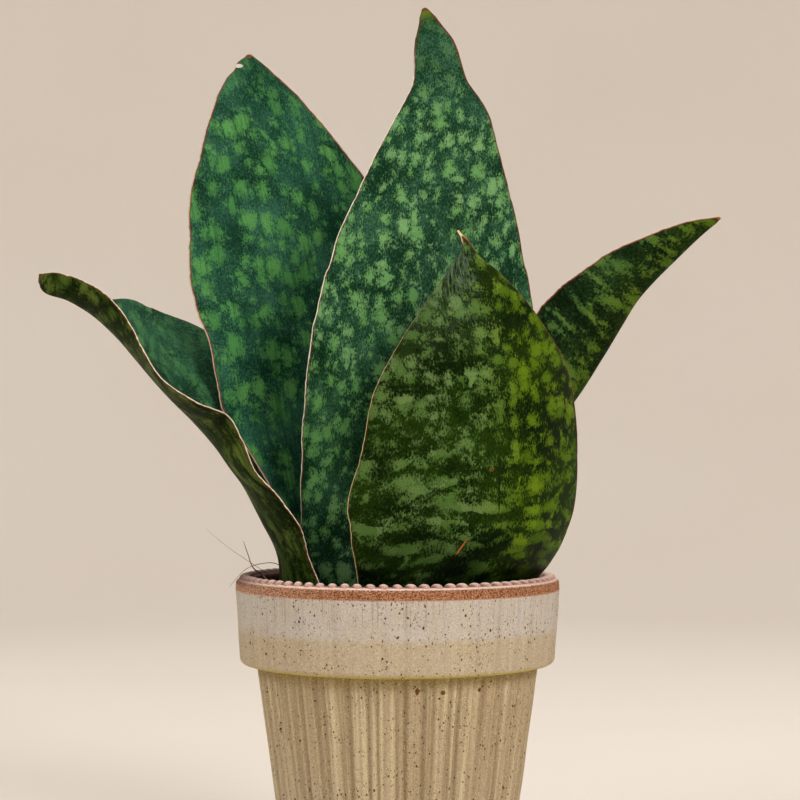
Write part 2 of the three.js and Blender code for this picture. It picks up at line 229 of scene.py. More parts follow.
# Larger rust spots under the collar at the front
RUST_SPOTS = [
    ((10.3, -77, 108.4), (1.2, 4, 2.0), (92, 52, 14)),
    ((23.8, -74, 107.5), (1.5, 4, 1.3), (96, 56, 20)),
    ((43.4, -64, 107.8), (1.1, 4, 1.3), (88, 50, 16)),
]


# Node graphs

class Graph:
    """A material and its nodes. Each method adds nodes and returns the socket with the result."""

    def __init__(self, name):
        self.material = bpy.data.materials.new(name)
        self.material.use_nodes = True
        self.tree = self.material.node_tree
        self.tree.nodes.clear()

    def add(self, kind, inputs=None, output=0, **settings):
        """A node, with sockets linked to its inputs, numbers set, and colours on the scale of 0 to 255."""
        node = self.tree.nodes.new("ShaderNode" + kind)
        for key, value in settings.items():
            setattr(node, key, value)
        for key, value in (inputs or {}).items():
            socket = node.inputs[key]
            if isinstance(value, bpy.types.NodeSocket):
                self.tree.links.new(value, socket)
            elif value is not None:
                socket.default_value = rgb(*value) if socket.type == "RGBA" else value
        return node.outputs[output]

    def attribute(self, name):
        return self.add("Attribute", output="Vector", attribute_name=name)

    def place(self):
        return self.add("TexCoord", output="Object")

    def millimetres(self):
        return self.scaled(self.place(), (1 / MM, 1 / MM, 1 / MM))

    def parts(self, vector):
        return self.add("SeparateXYZ", {0: vector}).node.outputs

    def math(self, operation, a, b=0.0):
        return self.add("Math", {0: a, 1: b}, operation=operation)

    def times(self, a, b):
        return self.math("MULTIPLY", a, b)

    def minus(self, a, b):
        return self.math("SUBTRACT", a, b)

    def plus(self, a, b, share=1.0):
        """The sum of a and a share of b."""
        return self.add("Math", {0: b, 1: share, 2: a}, operation="MULTIPLY_ADD")

    def scaled(self, vector, scale):
        return self.add("VectorMath", {0: vector, 1: scale}, operation="MULTIPLY")

    def moved(self, vector, offset):
        return self.add("VectorMath", {0: vector, 1: offset}, operation="ADD")

    def noise(self, vector, scale, detail, roughness=0.5, distortion=0.0, output=0):
        """Noise from 0 to 1. Its scale is the waves to a unit, for all directions or for each."""
        if isinstance(scale, tuple):
            vector, scale = self.scaled(vector, scale), 1.0
        inputs = {"Vector": vector, "Scale": scale, "Detail": detail, "Roughness": roughness}
        return self.add("TexNoise", {**inputs, "Distortion": distortion}, output)

    def swing(self, *settings):
        """Noise from -0.5 to 0.5."""
        return self.minus(self.noise(*settings), 0.5)

    def cells(self, vector, dimensions="3D"):
        """The distance to the nearest of many scattered points, and that point's random colour."""
        inputs = {"Vector": vector, "Scale": 1.0}
        distance = self.add("TexVoronoi", inputs, "Distance", voronoi_dimensions=dimensions)
        return distance, distance.node.outputs["Color"]

    def step(self, value, low, high, to_low=0.0, to_high=1.0):
        inputs = {"Value": value, "From Min": low, "From Max": high, "To Min": to_low, "To Max": to_high}
        return self.add("MapRange", inputs, interpolation_type="SMOOTHSTEP")

    def rise(self, value, low, high, top):
        return self.step(value, low, high, 0.0, top)

    def fall(self, value, low, high, top=1.0):
        return self.step(value, low, high, top, 0.0)

    def mix(self, share, a, b, blend="MIX"):
        return self.add("Mix", {0: share, 6: a, 7: b}, output=2, data_type="RGBA", blend_type=blend)

    def over(self, colour, *layers):
        """A colour with layers laid over it in turn, each its share and its own colour."""
        for share, tint in layers:
            colour = self.mix(share, colour, tint)
        return colour

    def marked(self, colour, marks, jagged):
        """Scars, specks and scratches, each a rough ellipsoid of colour, upright or leaning to the right."""
        for centre, radii, mark_colour, *lean in marks:
            place = self.moved(self.place(), tuple(-c * MM for c in centre))
            if lean:
                place = self.add("VectorRotate", {"Vector": place, "Angle": -lean[0]}, rotation_type="Y_AXIS")
            offset = self.scaled(place, tuple(1 / (r * MM) for r in radii))
            away = self.add("VectorMath", {0: offset}, output="Value", operation="LENGTH")
            colour = self.mix(self.fall(self.plus(away, jagged), 0.75, 1.1), colour, mark_colour)
        return colour

    def bump(self, height, distance, strength, normal=None):
        inputs = {"Height": height, "Distance": distance * MM, "Strength": strength, "Normal": normal}
        return self.add("Bump", inputs)

    def surface(self, colour, rough, shine, normal=None):
        inputs = {"Base Color": colour, "Roughness": rough, "Specular IOR Level": shine, "Normal": normal}
        shader = self.add("BsdfPrincipled", inputs)
        output = self.tree.nodes.new("ShaderNodeOutputMaterial")
        self.tree.links.new(shader, output.inputs["Surface"])
        return self.material


# Meshes

def new_object(name, points, faces):
    """An object in the scene, from an array of points in millimetres and an array or lists of faces."""
    mesh = bpy.data.meshes.new(name)
    faces = faces.tolist() if isinstance(faces, np.ndarray) else faces
    mesh.from_pydata((points.reshape(-1, 3) * MM).tolist(), [], faces)
    made = bpy.data.objects.new(name, mesh)
    scene.collection.objects.link(made)
    return made


def new_piece(name, points, faces, material, replaces=(), vectors=None):
    """A smooth piece that rides on the part's one body. Vectors are its named values at each point."""
    piece = new_object(name, points, faces)
    piece.data.materials.append(material)
    for key, values in (vectors or {}).items():
        layer = piece.data.attributes.new(key, "FLOAT_VECTOR", "POINT")
        layer.data.foreach_set("vector", np.asarray(values, np.float32).ravel())
    piece.data.shade_smooth()
    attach(piece, "root")
    if replaces:
        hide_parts(*replaces)
    return piece


def grid_faces(rows, columns, closed=True, first=0):
    """Four-sided faces over a grid of points. A closed grid joins its last column to its first."""
    start = first + columns * np.arange(rows - 1)[:, None]
    column = np.arange(columns if closed else columns - 1)
    following = (column + 1) % columns
    corners = [start + column, start + following, start + columns + following, start + columns + column]
    return np.stack(corners, -1).reshape(-1, 4)


def capped(rows, columns):
    """A closed grid's faces as lists, with a face over each of its open ends."""
    ends = [list(range(columns))[::-1], list(range((rows - 1) * columns, rows * columns))]
    return grid_faces(rows, columns).tolist() + ends


def turns(count):
    """Angles spread evenly round a full turn."""
    return 2 * pi * np.arange(count) / count


def round_points(radius, height, angle):
    """Points at each radius, height and angle about the Z axis."""
    return np.stack(np.broadcast_arrays(np.cos(angle) * radius, np.sin(angle) * radius, height), -1)


def values_at(shape, *values):
    """Three values for each point of a grid of this shape."""
    return np.stack([np.broadcast_to(value, shape) for value in values], -1).reshape(-1, 3)


# Large odd numbers that scatter the noise's values from corner to corner
CORNER_FACTORS = np.array([374761393, 668265263, 1274126177])
SEED_FACTOR = 982451653
MIXING_FACTOR = 1103515245


def value_noise(points, seed):
    """Smooth noise from -1 to 1 at points in three dimensions, one wave per unit or so."""
    base = np.floor(points).astype(int)
    part = points - base
    part = part * part * (3 - 2 * part)
    total = np.zeros(points.shape[:-1])
    for corner in np.ndindex(2, 2, 2):
        mixed = ((base + corner) * CORNER_FACTORS).sum(-1) + seed * SEED_FACTOR
        mixed = (mixed ^ (mixed >> 13)) * MIXING_FACTOR
        value = ((mixed ^ (mixed >> 16)) & 0xFFFF) / 32767.5 - 1
        total += value * np.prod(np.where(corner, part, 1 - part), -1)
    return total


def rail(points, places):
    """A smooth curve through the points, at places from 0 to 1 along its stations."""
    line = np.array(points, float)
    line = np.vstack([2 * line[0] - line[1], line, 2 * line[-1] - line[-2]])
    spans = len(points) - 1
    at = np.clip(places, 0, 1) * spans
    span = np.minimum(at.astype(int), spans - 1)
    t = (at - span)[:, None]
    before, start, end, after = (line[span + k] for k in range(4))
    cubic = 3 * start - before - 3 * end + after
    square = 2 * before - 5 * start + 4 * end - after
    return 0.5 * (2 * start + (end - before) * t + square * t**2 + cubic * t**3)


def unit(vectors):
    return vectors / np.maximum(np.linalg.norm(vectors, axis=-1, keepdims=True), 1e-9)


# Leaves. Each row is one station from the neck to the tip: the X, Y and Z of a point on one margin, a
# point on the midrib and a point on the other margin, as in the part's own source.
LEAVES = dict(
    leaf_centre=[
        (-9, 1, 106, 2, -3, 106, 13, 3, 106),
        (-34, 2, 142, 4, -6, 142, 44, 10, 142),
        (-52, -2, 168, 5, -8, 168, 57, 14, 167),
        (-53, -10, 206, 8, -12, 206, 75, 20, 205),
        (-52, -16, 247, 11, -14, 247, 82, 24, 248),
        (-46, -20, 301, 15, -12, 303, 79, 26, 303),
        (-33, -16, 349, 18, -8, 351, 69, 24, 353),
        (-13, -8, 396, 21, -2, 397, 59, 18, 399),
        (0, -2, 420, 23, 2, 421, 51, 13, 423),
        (8.4, 2, 439, 23, 4, 441, 39, 10, 442),
        (10, 4, 461, 21, 5, 462, 32, 7, 462),
        (11.4, 5, 471, 18.5, 6, 472, 25.5, 6, 472),
        (14.3, 6, 481.5, 15.5, 6, 482, 16.7, 6, 481.5),
    ],
    leaf_back_left=[
        (-8, 25, 106, -17, 24, 106, -24, 16, 106),
        (2, 36, 142, -32, 32, 142, -48, 8, 142),
        (-15, 36, 170, -39, 34, 170, -53, 4, 172),
        (-5, 34, 205, -41, 38, 204, -68, 5, 209),
        (1, 32, 230, -44, 42, 230, -82, 5, 231),
        (4, 32, 259, -47, 44, 259, -98, 8, 256),
        (2, 34, 295, -51, 46, 295, -106, 10, 294),
        (1, 34, 311, -54, 46, 311, -112, 12, 309),
        (-2, 35, 334, -57, 46, 332, -117, 14, 328),
        (-8, 37, 363, -62, 46, 361, -118, 16, 355),
        (-18, 38, 388, -68, 44, 390, -116, 19, 384),
        (-41, 38, 418, -74, 40, 420, -109, 24, 416),
        (-61, 36, 440, -79, 37, 442, -101, 29, 440),
        (-74, 34, 452, -82, 34, 453, -94, 31, 453),
        (-83.5, 34, 460, -85, 33, 460.5, -86.5, 32, 460),
    ],
    leaf_left=[
        (-37, 5, 106, -38, -5, 106, -30, -13, 106),
        (-54, 24, 142, -59, -6, 142, -35, -28, 142),
        (-63, 33, 187, -63.8, -8, 174, -47.5, -30, 174),
        (-69, 36, 213, -73.6, -8, 194.5, -52, -33, 191),
        (-78, 38, 239, -84, -8, 214, -64, -36, 207),
        (-86, 41, 262, -94, -8, 229, -77, -39, 221),
        (-93, 43, 278, -102, -8, 240, -84, -42, 239),
        (-103, 44, 296, -112, -8, 252, -92, -45, 253),
        (-115, 44, 304, -122.3, -8, 263, -108, -46, 260),
        (-134, 40, 312, -132.3, -8, 274, -126, -46, 272),
        (-144, 38, 316, -143.5, -8, 286, -138, -42, 290),
        (-153, 33, 319, -153.5, -9, 297, -145, -38, 300),
        (-166, 22, 319, -166.6, -10, 309, -158, -32, 317),
        (-178, 8, 327, -181, -10, 317.6, -174, -24, 327),
        (-189, -2, 330, -194, -10, 321.3, -187, -18, 331),
        (-198, -8, 329.5, -198.6, -10, 326.5, -198, -12, 330.5),
    ],
    leaf_front=[
        (12, -33, 106, 22, -37, 106, 32, -30, 106),
        (-14, -36, 142, 33, -54, 142, 60, -22, 142),
        (-20, -38, 157, 36, -56, 157, 73.5, -11, 159),
        (-23, -40, 173, 46, -60, 176, 84.5, -8.5, 172),
        (-25, -40, 192, 49, -65, 196, 92, -12, 189),
        (-26, -40, 207, 49, -69, 212, 97.4, -14, 209),
        (-19, -41, 231, 50, -70, 236, 98.5, -15, 236),
        (-14, -43, 258, 49, -70, 261, 95, -20, 267),
        (-2, -45, 285, 47, -67, 289, 84, -28, 293),
        (12, -46, 307, 43, -62, 312, 70, -36, 313),
        (26, -48, 328, 40, -56, 329, 55, -44, 329),
        (35, -50, 340, 38, -52, 339, 45, -49, 336),
        (35.6, -50, 344.2, 36.8, -50.4, 344.5, 38, -50, 344.8),
        (31.8, -49, 351, 32.3, -49, 351.4, 32.8, -49, 351.8),
    ],
    leaf_right=[
        (36, 20, 106, 41, 28, 106, 36, 37, 106),
        (40, 26, 142, 56, 35, 142, 37, 56, 142),
        (42, 28, 170, 59, 37, 168, 38, 64, 170),
        (52, 32, 231, 82.4, 46, 231.2, 58, 74, 240),
        (62, 34, 268, 94.4, 48, 253.2, 70, 78, 273),
        (72, 34, 297, 106.6, 50, 271.2, 82, 80, 301),
        (85, 32, 318, 117, 50, 288, 95, 78, 320),
        (101.6, 30, 332.8, 132.3, 48, 311.6, 109.6, 74, 334.8),
        (120.7, 28, 345.8, 147.2, 46, 331.8, 128.7, 68, 347.8),
        (142.8, 28, 355.8, 162.2, 42, 347, 147.8, 57, 357.8),
        (165, 30, 363.6, 175.5, 38, 358.7, 168, 45, 364.6),
        (184.5, 33.5, 367.2, 186, 35, 366.3, 185, 36.5, 367.2),
    ],
)
# How sharply each blade folds at its midrib
LEAF_KEEL = {"leaf_left": 1.6, "leaf_right": 1.6}
PLAIN_KEEL = 1.7
# A cut in a margin: its distance from the tip, its length and its depth
LEAF_CUT = {"leaf_back_left": (9.5, 3.2, 1.8)}


def even_places(stations):
    """Places along the leaf that lie an even distance apart on the midrib."""
    fine = np.linspace(0, 1, 600)
    midrib = rail(stations[:, 1], fine)
    run = np.concatenate([[0], np.cumsum(np.linalg.norm(np.diff(midrib, axis=0), axis=1))])
    count = int(run[-1] / ROW_SPACING) + 1
    return np.interp(np.linspace(0, run[-1], count), run, fine)


def worn_margin(where, side, seed, cut):
    """How far each margin has worn back at each row, in waves and nicks and by one deeper cut."""
    inward = 0.45 * value_noise(where / MARGIN_WAVE, seed + 3)
    inward = inward + 0.22 * value_noise(where / MARGIN_NICK, seed + 4)
    if cut:
        distance, length, depth = cut
        run = where[:, :1, 0]
        inward = inward + depth * np.exp(-(((run[-1] - run - distance) / length) ** 2)) * (side > 0)
    return np.sign(side) * inward * np.abs(side) ** 12


def blade_sheet(stations, keel, seed, cut):
    """The blade's middle sheet, its unit normals towards the inner face, the place of each row along the leaf
    from 0 to 1 and of each column across it from -1 to 1, and each point's distances along and across."""
    places = even_places(stations)
    left, midrib, right = (rail(stations[:, k], places) for k in range(3))
    step = np.linspace(-1, 1, 2 * HALF_COLUMNS + 1)
    side = np.sign(step) * (1 - (1 - np.abs(step)) ** MARGIN_CROWDING)
    across = (right - left) / 2
    lift = (right + left) / 2 - midrib
    sheet = midrib[:, None] + across[:, None] * side[:, None]
    sheet = sheet + lift[:, None] * (np.abs(side) ** keel)[:, None]
    across_way = unit(np.gradient(sheet, axis=1))
    normal = unit(np.cross(unit(np.gradient(sheet, axis=0)), across_way))
    width = np.linalg.norm(across, axis=1)[:, None]
    run = np.linspace(0, len(places) * ROW_SPACING, len(places))[:, None]
    where = np.stack(np.broadcast_arrays(run, width * side, 0.0), -1)
    sheet = sheet - across_way * worn_margin(where, side, seed, cut)[..., None]
    push = 0.9 * value_noise(where / SWELL, seed) + 0.25 * value_noise(where / RIPPLE, seed + 1)
    push = push + 1.1 * value_noise(where / SWAY, seed + 2) * np.abs(side) ** 3
    calm = np.clip((width - 3) / 20, 0, 1)
    return sheet + normal * (push * calm)[..., None], normal, places, side, where


def half_thickness(along, side):
    """Half the blade's thickness: thick at the neck and midrib, thin at the margins and tip."""
    swell = np.clip(1 - along / NECK_LENGTH, 0, 1) ** 2
    taper = np.clip((1.02 - along) / TIP_LENGTH, 0, 1) ** 0.6
    middle = (MIDRIB_THICKNESS + (NECK_THICKNESS - MIDRIB_THICKNESS) * swell) * taper
    rounded = np.sqrt(np.clip(1 - side * side, 0, 1))
    thin = np.clip((1.0 - along) / TIP_THINNING, TIP_THIN, 1)
    return 0.5 * thin * (MARGIN_THICKNESS + np.maximum(0, middle - MARGIN_THICKNESS) * rounded)


def leaf_faces(rows, columns):
    """The inner face, the outer face, the two margins round their bulging edges, and both ends."""
    count = rows * columns
    face = grid_faces(rows, columns, closed=False)
    faces = [face[:, ::-1], count + face]
    row = np.arange(rows - 1)
    for column, k, turn in ((0, 0, 1), (columns - 1, 1, -1)):
        near = row * columns + column
        rim = 2 * count + row * 2 + k
        for a, b, jump_a, jump_b in ((near, rim, columns, 2), (rim, count + near, 2, columns)):
            faces.append(np.stack([a, b, b + jump_b, a + jump_a], -1)[:, ::turn])
    for start, turn in ((0, 1), (rows - 1, -1)):
        k = np.arange(columns - 1) + start * columns
        faces.append(np.stack([k, k + 1, count + k + 1, count + k], -1)[:, ::turn])
    return np.concatenate(faces)


def leaf(name, stations, material, seed):
    """A blade with two skins. Its values tell the material where each point lies on the leaf."""
    keel = LEAF_KEEL.get(name, PLAIN_KEEL)
    sheet, normal, places, side, where = blade_sheet(stations, keel, seed, LEAF_CUT.get(name))
    rows, columns = sheet.shape[:2]
    half = half_thickness(places[:, None], side[None])[..., None]
    edge = sheet[:, MARGINS] + unit(sheet[:, MARGINS] - sheet[:, [1, -2]]) * MARGIN_BULGE
    layers = [sheet + normal * half, sheet - normal * half, edge]
    margin = np.linalg.norm(np.stack([sheet - sheet[:, :1], sheet - sheet[:, -1:]]), axis=-1).min(0)
    tip = (1 - places)[:, None] * len(places) * ROW_SPACING
    run, across = where[..., 0], where[..., 1]
    grid, rims = (rows, columns), (rows, 2)
    place = [values_at(grid, across, run, flag) for flag in (1.0, 0.0)]
    place.append(values_at(rims, across[:, MARGINS], run[:, MARGINS], 0.5))
    beside = [values_at(grid, margin, tip, side)] * 2 + [values_at(rims, EDGE_MARGIN, tip, (-1.0, 1.0))]
    vectors = {"leaf_place": np.concatenate(place), "leaf_edge": np.concatenate(beside)}
    points = np.concatenate([layer.reshape(-1, 3) for layer in layers])
    new_piece(name + "_blade", points, leaf_faces(rows, columns), material, (name,), vectors)


class LeafSkin(Graph):
    """A leaf's skin: the place of each point on the blade, and the noises that its layers share."""

    def __init__(self, name, seed):
        super().__init__(name)
        self.across, self.along, flag = self.parts(self.attribute("leaf_place"))
        self.margin, self.tip, self.side = self.parts(self.attribute("leaf_edge"))
        self.inner = self.step(flag, 0.4, 0.6)
        self.outer = self.minus(1.0, self.inner)
        shifted = self.plus(self.across, self.plus(170.0 * seed, self.inner, 300.0))
        self.flat = self.add("CombineXYZ", {"X": shifted, "Y": self.along, "Z": 0.0})
        warp = self.moved(self.noise(self.flat, 0.11, 3.0, output="Color"), (-0.5, -0.5, -0.5))
        self.bent = self.moved(self.flat, self.scaled(warp, (9.0, 11.0, 0.0)))
        self.dashes = self.swing(self.flat, (1.25, 0.42, 1.0), 3.0, 0.7)
        self.speck = self.swing(self.flat, (1.05, 0.65, 1.0), 3.0, 0.75)
        self.cloud = self.swing(self.flat, 0.03, 2.0, 0.55)
        self.shape = self.swing(self.flat, 0.3, 2.0)

    def cell_field(self, size, radius, shift):
        """How deep each point lies in a cell's blotch, from its random radius, and the cell's own tone."""
        place = self.moved(self.scaled(self.bent, (1 / size[0], 1 / size[1], 0.0)), (shift, 1.7 * shift, 0.0))
        distance, tone = self.cells(place, "2D")
        pick, other, _ = self.parts(tone)
        reach = self.plus(radius[0], pick, radius[1] - radius[0])
        return self.times(self.minus(reach, distance), 1 / BLOTCH_EDGE), other


def low_bands(g, look, field):
    """The field with wavy cross bands of other cells mixed in towards the leaf's foot."""
    low_field, _ = g.cell_field(look.low_cell, look.radius, 5.0)
    drift = g.times(g.noise(g.flat, (0.045, 0.03, 1.0), 1.0), 14.0)
    wave = g.math("SINE", g.plus(drift, g.along, 2 * pi / look.wave))
    low = g.fall(g.along, look.low_end * 0.6, look.low_end * 1.2)
    return g.add("Mix", {0: low, 2: field, 3: g.plus(low_field, wave, 0.45)})


def mottle(g, look):
    """Shares of blotch and of mist over the ground, and the tone of each blotch."""
    field, tone = g.cell_field(look.cell, look.radius, 0.0)
    if look.low_cell:
        field = low_bands(g, look, field)
    small, small_tone = g.cell_field(look.small_cell, look.small_radius, 9.0)
    field = g.math("MAXIMUM", field, g.plus(g.minus(small, 1.0), small_tone, 0.9))
    field = g.plus(g.plus(field, g.shape, look.ragged), g.cloud, 0.6)
    if look.right_more:
        field = g.plus(field, g.rise(g.across, 0.0, 25.0, look.right_more))
    broken = g.plus(field, g.dashes, look.dither)
    broken = g.plus(broken, g.speck, 0.5 * look.dither)
    blotch = g.rise(broken, -0.35 - look.soft, 0.45 + look.soft, look.strength)
    blotch = g.times(blotch, g.step(g.plus(field, g.speck, 3.0), -0.6, 1.0, 0.5, 1.0))
    if look.calm_tip:
        blotch = g.times(blotch, g.step(g.tip, *look.calm_tip, 0.25, 1.0))
    misty = g.plus(g.times(g.speck, 3.6), g.dashes, 2.0)
    misty = g.plus(g.plus(misty, small, 0.25), g.cloud, 1.6)
    return blotch, g.rise(misty, -0.6, 0.8, look.mist), tone


def greens(g, look):
    """The mottled colour of both faces."""
    blotch, mist, tone = mottle(g, look)
    depth = g.step(g.plus(g.cloud, g.speck, 0.5), -0.15, 0.2)
    faces = []
    for dark, middle, misty, light, other in (look.outer, look.inner):
        ground = g.mix(mist, g.mix(depth, dark, middle), misty)
        faces.append(g.mix(blotch, ground, g.mix(tone, light, other)))
    return g.mix(g.inner, *faces)


def shaded(g, look, colour):
    """Broad changes of colour on some leaves: darker low down, as painted shade on the centre and front
    leaves and as a greyer tone on the left leaf; a painted warm light over the right half; a painted sheen on
    the left near the tip; dark streaks; and a yellower tip.
    """
    # Darker towards the leaf's foot: painted shade where other leaves and the rim shade it, and on the left
    # leaf a greyer tone. Where low_lit is given, the painted shade fades out again at the very foot.
    if look.low_shade:
        start, end, shade = look.low_shade
        low = g.fall(g.plus(g.along, g.cloud, 60.0), start, end)
        if look.low_lit:
            low = g.times(low, g.step(g.along, *look.low_lit))
        colour = g.mix(g.times(low, g.outer), colour, shade, "MULTIPLY")
    # Painted warm light: the right half of the outer face is multiplied towards yellow, as though warm light
    # falls on it.
    if look.tint:
        tint, share, offset = look.tint
        right = g.plus(g.plus(g.across, offset), g.shape, 14.0)
        right = g.rise(right, -16.0, 20.0, share)
        colour = g.mix(g.times(right, g.outer), colour, tint, "MULTIPLY")
    # Painted sheen: pale grey-green threads over the left of the outer face near the tip, where light glances
    # off it.
    if look.veil:
        veil, share = look.veil
        threads = g.rise(g.noise(g.flat, (0.9, 0.12, 1.0), 4.0, 0.75), 0.42, 0.62, share)
        left = g.step(g.plus(g.across, g.shape, 9.0), 3.0, -5.0)
        left = g.times(left, g.step(g.tip, 110.0, 20.0))
        colour = g.mix(g.times(g.times(threads, left), g.outer), colour, veil)
    if look.streaks:
        streak = g.noise(g.flat, (0.36, 0.022, 1.0), 4.0, 0.72, 0.5)
        share = g.step(g.inner, 0.0, 1.0, *look.streaks)
        dark = g.mix(g.inner, look.outer[0], look.inner[0])
        colour = g.mix(g.times(g.step(streak, 0.5, 0.6), share), colour, dark)
    if look.ripe_tip:
        ripe = g.fall(g.plus(g.tip, g.shape, 8.0), 7.0, 26.0, 0.8)
        colour = g.mix(ripe, colour, look.ripe_tip)
    return colour


def edged(g, look, colour):
    """The red line inside the margin, the pale horny rim and the dry tip. The pale rim is the leaf's own, but
    how much of it shows on each margin is partly painted highlight, stronger on the margin that faces the
    light, and the red line fades where the rim shows.
    """
    wobble = g.noise(g.flat, 0.35, 2.0)
    line = g.plus(g.minus(g.margin, 0.45), wobble, 0.9)
    # Partly painted highlight: the pale rim's share on the left and on the right margin.
    rim_and_highlight_share = g.step(g.side, -0.5, 0.5, *look.pale)
    red = g.fall(line, look.horn_width + 0.3, look.horn_width + 1.0, 0.95)
    red = g.times(red, g.step(rim_and_highlight_share, 0.4, 1.0, 1.0, 0.45))
    if look.pale_below:
        reached = g.step(g.tip, look.pale_below - 15, look.pale_below + 15)
        rim_and_highlight_share = g.times(rim_and_highlight_share, reached)
    horn = g.times(g.fall(line, look.horn_width - 0.3, look.horn_width + 0.15), rim_and_highlight_share)
    dry = g.fall(g.plus(g.tip, wobble, 2.0), look.dry, look.dry + 2.5)
    red_line = g.mix(wobble, (70, 20, 8), (134, 58, 32))
    return g.over(colour, (red, red_line), (horn, look.horn), (dry, look.dry_colour))


def leaf_material(name, seed, look):
    g = LeafSkin(name, seed)
    grain = g.noise(g.flat, 2.4, 3.0, 0.7)
    shade = g.mix(g.step(grain, 0.3, 0.7), (92, 98, 92), (216, 224, 214))
    colour = shaded(g, look, g.mix(0.75, greens(g, look), shade, "SOFT_LIGHT"))
    colour = g.marked(edged(g, look, colour), look.marks, g.speck)
    rough = g.step(g.plus(g.speck, g.dashes), -0.3, 0.3, 0.45, 0.6)
    fibres = g.noise(g.flat, (1.6, 0.05, 1.0), 3.0, 0.6)
    normal = g.bump(g.plus(g.dashes, grain, 0.5), 0.12, 0.6, g.bump(fibres, 0.25, 0.6))
    return g.surface(colour, rough, 0.03, normal)


for number, (name, stations) in enumerate(LEAVES.items()):
    look = SimpleNamespace(**{**PLAIN_LOOK, **LEAF_LOOKS[name]})
    skin = leaf_material(name.replace("leaf", "skin"), number + 1, look)
    leaf(name, np.array(stations).reshape(-1, 3, 3), skin, seed=10 * number + 3)


# Pot

def flute_depth(turn, rng):
    """Depth of the flutes below the body's cone at each share of a turn, slightly uneven all round."""
    repeat = turn * FLUTE_REPEATS
    number = np.floor(repeat).astype(int)
    shift = rng.uniform(-FLUTE_SHIFT, FLUTE_SHIFT, FLUTE_REPEATS + 1)
    deep = rng.uniform(*FLUTE_DEEPNESS, FLUTE_REPEATS + 1)
    shift[-1] = shift[0]
    deep[-1] = deep[0]
    part = repeat - number
    place = part + shift[number] * (1 - part) + shift[number + 1] * part
    at, depth = np.array(FLUTE_PROFILE).T
    at = np.concatenate([at[-1:] - 1, at, at[:1] + 1])
    depth = np.concatenate([depth[-1:], depth, depth[:1]])
    place = np.mod(place - at[0], 1) + at[0]
    k = np.clip(np.searchsorted(at, place) - 1, 0, len(at) - 2)
    t = (place - at[k]) / (at[k + 1] - at[k])
    t = t * t * (3 - 2 * t)
    return (depth[k] * (1 - t) + depth[k + 1] * t) * (deep[number] * (1 - part) + deep[number + 1] * part)


def arc(radius, height, curve, start, end, steps):
    """Points of a round corner in the pot's outline, from one direction in degrees to another."""
    ways = np.radians(np.linspace(start, end, steps))
    return [(radius + curve * cos(way), height + curve * sin(way)) for way in ways]


def straights(corners, steps):
    """Points along straight runs from corner to corner, in this many steps each."""
    runs = zip(corners, corners[1:], steps)
    return [tuple(np.array(a) + (np.array(b) - a) * k / count) for a, b, count in runs for k in range(count)]


def cone(height):
    """The point of the body's outline at a height."""
    return (BASE_RADIUS + (BODY_TOP_RADIUS - BASE_RADIUS) * height / COLLAR_BOTTOM, height)


def pot_outline():
    """Radius and height from the middle of the underside, up the outside, over the rim and down inside."""
    neck = COLLAR_BOTTOM - NECK_ROUND
    lip = RIM_INNER_RADIUS + LIP_ROUND
    step_under = [(cone(115)[0] + 2.4, COLLAR_BOTTOM), (COLLAR_FOOT_RADIUS - 3.6, COLLAR_BOTTOM)]
    collar = [(COLLAR_FOOT_RADIUS, COLLAR_BOTTOM + 4), (RIM_RADIUS - 0.1, BAND_BOTTOM)]
    band = [(RIM_RADIUS, BAND_BOTTOM), (RIM_RADIUS - 0.2, RIM_HEIGHT - 2.2)]
    edge = [(RIM_RADIUS - 0.3, RIM_HEIGHT - 2.0), (RIM_RADIUS - 0.9, RIM_HEIGHT - 1.2),
            (RIM_RADIUS - 2.6, RIM_HEIGHT - 0.3), (lip, RIM_HEIGHT)]
    inside = [(RIM_INNER_RADIUS, RIM_HEIGHT - 1.4), (RIM_INNER_RADIUS, RIM_HEIGHT - RIM_LIP_HEIGHT),
              (CAVITY_SHOULDER_RADIUS, COLLAR_BOTTOM), (CAVITY_FLOOR_RADIUS, FLOOR_THICKNESS),
              (0.01, FLOOR_THICKNESS)]
    return np.array([
        *straights([(0.01, 0.0), (BASE_RADIUS - 2.2, 0.0)], [12]),
        *arc(BASE_RADIUS - BASE_ROUND, BASE_ROUND, BASE_ROUND, -90, -5, 6),
        *straights([cone(2.2), cone(113.5)], [50]),
        *arc(cone(neck)[0] + NECK_ROUND, neck, NECK_ROUND, 180, 90, 4),
        *straights(step_under, [3]),
        *arc(COLLAR_FOOT_RADIUS - COLLAR_ROUND, COLLAR_BOTTOM + COLLAR_ROUND, COLLAR_ROUND, -90, -3, 9),
        *straights(collar, [24]),
        *straights(band, [6]),
        *straights(edge, [3, 4, 8]),
        *arc(lip, RIM_HEIGHT - LIP_ROUND, LIP_ROUND, 90, 180, 5),
        *straights(inside, [3, 14, 20, 8]),
        inside[-1],
    ])


